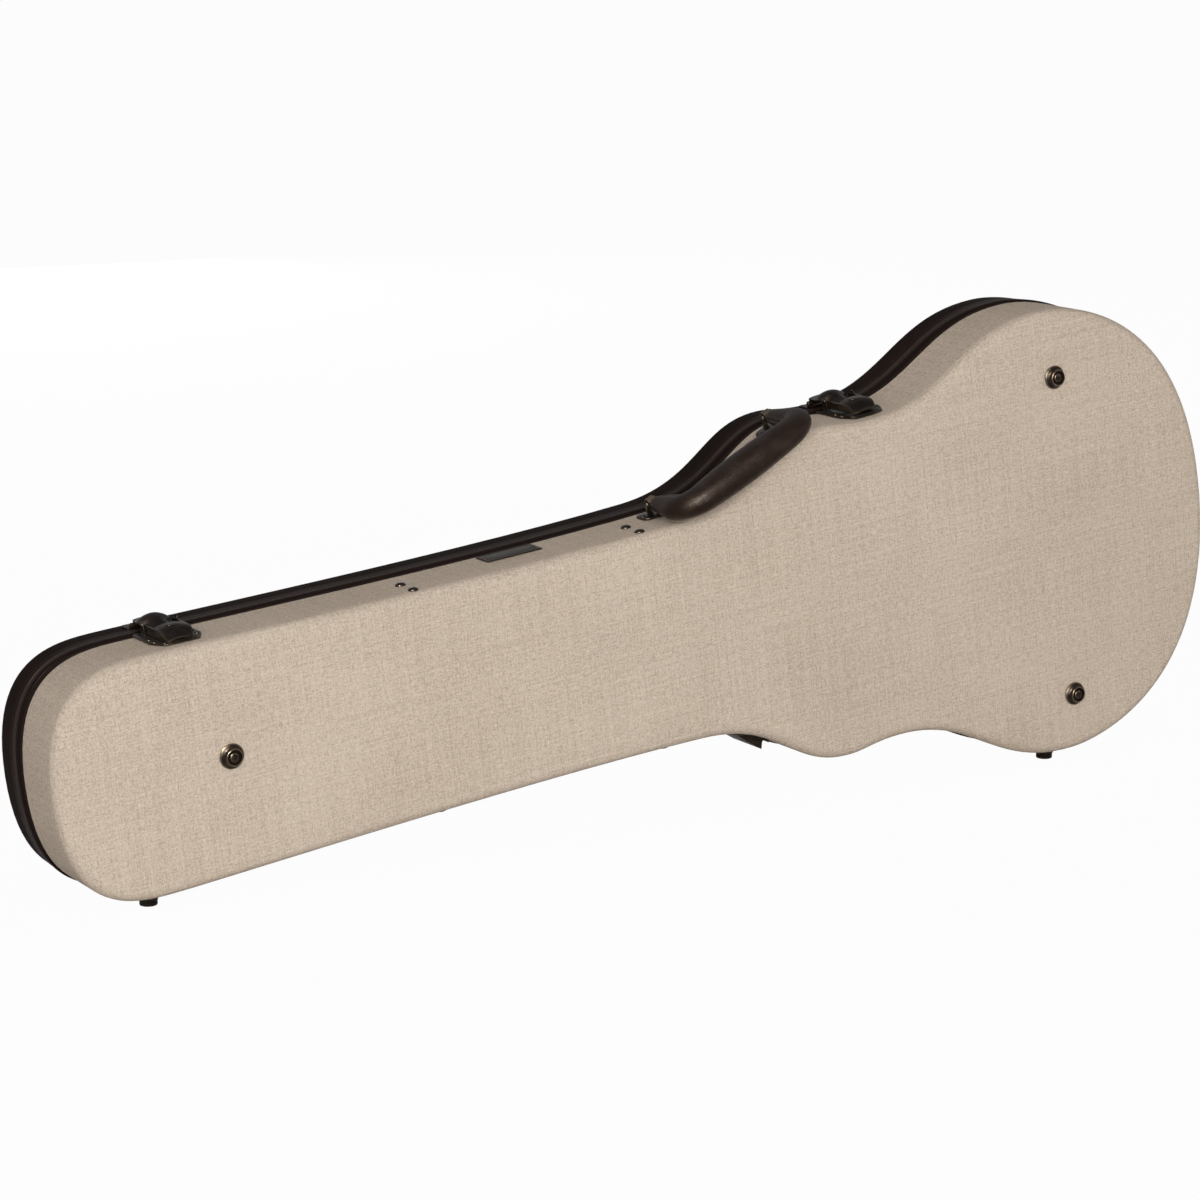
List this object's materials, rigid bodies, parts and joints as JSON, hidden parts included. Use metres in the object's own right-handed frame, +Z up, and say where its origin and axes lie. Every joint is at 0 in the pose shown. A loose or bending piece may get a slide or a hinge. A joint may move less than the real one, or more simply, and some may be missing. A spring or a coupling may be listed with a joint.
{
  "type": "electric guitar case",
  "caption": "Arched-top hard case for a single-cutaway electric guitar, standing on side feet, with draw latches, a folding handle and a plush interior.",
  "frame": {"origin": "under the middle of the object's box, on the ground that the side feet stand on", "axes": "+X along the ground from the narrow neck end to the wide tail end, +Y from the back face to the arched lid, +Z up, from the hinge side to the handle"},
  "size_m": [1.0756, 0.1534, 0.3938],
  "materials": {
    "linen_cloth": "coarse woven beige cloth over thin plywood, matt",
    "dark_band": "black-brown coated cloth over bent plywood, soft sheen",
    "dark_rim": "dark brown moulded rim with a glossy bead",
    "plush": "wine-red plush over foam",
    "ribbon": "woven ribbon",
    "lining_wood": "bare plywood board",
    "handle_leather": "dark brown stitched leather, semi-gloss",
    "antique_bronze": "steel with an antique bronze plating, worn bright on its edges"
  },
  "bodies": {
    "base": {"back_foot_lower": "antique_bronze", "back_foot_neck": "antique_bronze", "back_foot_upper": "antique_bronze", "base_lining": "plush", "base_rim": "dark_rim", "base_shell": "linen_cloth", "divider_body": "lining_wood", "divider_head": "lining_wood", "divider_rivet_body_lower_1": "antique_bronze", "divider_rivet_body_lower_2": "antique_bronze", "divider_rivet_body_upper_1": "antique_bronze", "divider_rivet_body_upper_2": "antique_bronze", "divider_rivet_head_lower_1": "antique_bronze", "divider_rivet_head_lower_2": "antique_bronze", "divider_rivet_head_upper_1": "antique_bronze", "divider_rivet_head_upper_2": "antique_bronze", "flap_batten": "lining_wood", "flap_pin_body": "antique_bronze", "flap_pin_head": "antique_bronze", "handle_bracket_left": "antique_bronze", "handle_bracket_right": "antique_bronze", "handle_pin_left": "antique_bronze", "handle_pin_right": "antique_bronze", "hinge_leaf_base_bout": "antique_bronze", "hinge_leaf_base_neck": "antique_bronze", "hinge_pin_bout": "antique_bronze", "hinge_pin_neck": "antique_bronze", "latch_plate_neck": "antique_bronze", "latch_plate_tail": "antique_bronze", "latch_plate_waist": "antique_bronze", "name_plate": "antique_bronze", "neck_rest": "plush", "side_foot_bout_back": "antique_bronze", "side_foot_bout_lid": "antique_bronze", "side_foot_neck_back": "antique_bronze", "side_foot_neck_lid": "antique_bronze", "side_guide": "antique_bronze"},
    "lid": {"hinge_leaf_lid_bout": "antique_bronze", "hinge_leaf_lid_neck": "antique_bronze", "latch_keeper_neck": "antique_bronze", "latch_keeper_tail": "antique_bronze", "latch_keeper_waist": "antique_bronze", "lid_band": "dark_band", "lid_lining": "plush", "lid_rim": "dark_rim", "lid_top": "linen_cloth"},
    "handle": {"handle_core": "antique_bronze", "handle_grip": "handle_leather"},
    "flap": {"compartment_flap": "plush", "flap_pull": "ribbon"},
    "lever_neck": {"latch_lever_neck": "antique_bronze", "link_pin_neck": "antique_bronze"},
    "link_neck": {"latch_link_neck": "antique_bronze"},
    "lever_waist": {"latch_lever_waist": "antique_bronze", "link_pin_waist": "antique_bronze"},
    "link_waist": {"latch_link_waist": "antique_bronze"},
    "lever_tail": {"latch_lever_tail": "antique_bronze", "link_pin_tail": "antique_bronze"},
    "link_tail": {"latch_link_tail": "antique_bronze"}
  },
  "joints": [
    {"name": "lid_hinge", "type": "hinge", "parent": "base", "child": "lid", "pos_m": [-0.45572, 0.03087, 0.0043], "axis": [-1, 0, 0], "range_deg": [0, 100]},
    {"name": "handle_hinge", "type": "hinge", "parent": "base", "child": "handle", "pos_m": [0.05276, -0.00228, 0.28748], "axis": [-0.8756, 0, -0.483], "range_deg": [0, 150]},
    {"name": "flap_hinge", "type": "hinge", "parent": "base", "child": "flap", "pos_m": [-0.21336, 0.00522, 0.0693], "axis": [-0.993, 0, -0.1179], "range_deg": [0, 80]},
    {"name": "lever_hinge_neck", "type": "hinge", "parent": "base", "child": "lever_neck", "pos_m": [-0.42479, 0.01172, 0.20597], "axis": [-0.9949, 0, -0.1005], "range_deg": [0, 95]},
    {"name": "link_hinge_neck", "type": "hinge", "parent": "lever_neck", "child": "link_neck", "pos_m": [-0.42441, -0.00028, 0.20219], "axis": [0.9949, 0, 0.1005], "range_deg": [0, 115]},
    {"name": "lever_hinge_waist", "type": "hinge", "parent": "base", "child": "lever_waist", "pos_m": [0.18765, 0.01172, 0.32491], "axis": [-0.9837, 0, -0.1796], "range_deg": [0, 95]},
    {"name": "link_hinge_waist", "type": "hinge", "parent": "lever_waist", "child": "link_waist", "pos_m": [0.18833, -0.00028, 0.32117], "axis": [0.9837, 0, 0.1796], "range_deg": [0, 115]},
    {"name": "lever_hinge_tail", "type": "hinge", "parent": "base", "child": "lever_tail", "pos_m": [0.51616, 0.01172, 0.30705], "axis": [-0.4482, 0, 0.8939], "range_deg": [0, 95]},
    {"name": "link_hinge_tail", "type": "hinge", "parent": "lever_tail", "child": "link_tail", "pos_m": [0.51276, -0.00028, 0.30535], "axis": [0.4482, 0, -0.8939], "range_deg": [0, 115]}
  ],
  "couplings": [
    {"joint": "flap_hinge", "follows": "lid_hinge", "ratio": 0.8},
    {"joint": "link_hinge_neck", "follows": "lever_hinge_neck", "ratio": 1.2},
    {"joint": "link_hinge_waist", "follows": "lever_hinge_waist", "ratio": 1.2},
    {"joint": "link_hinge_tail", "follows": "lever_hinge_tail", "ratio": 1.2}
  ]
}
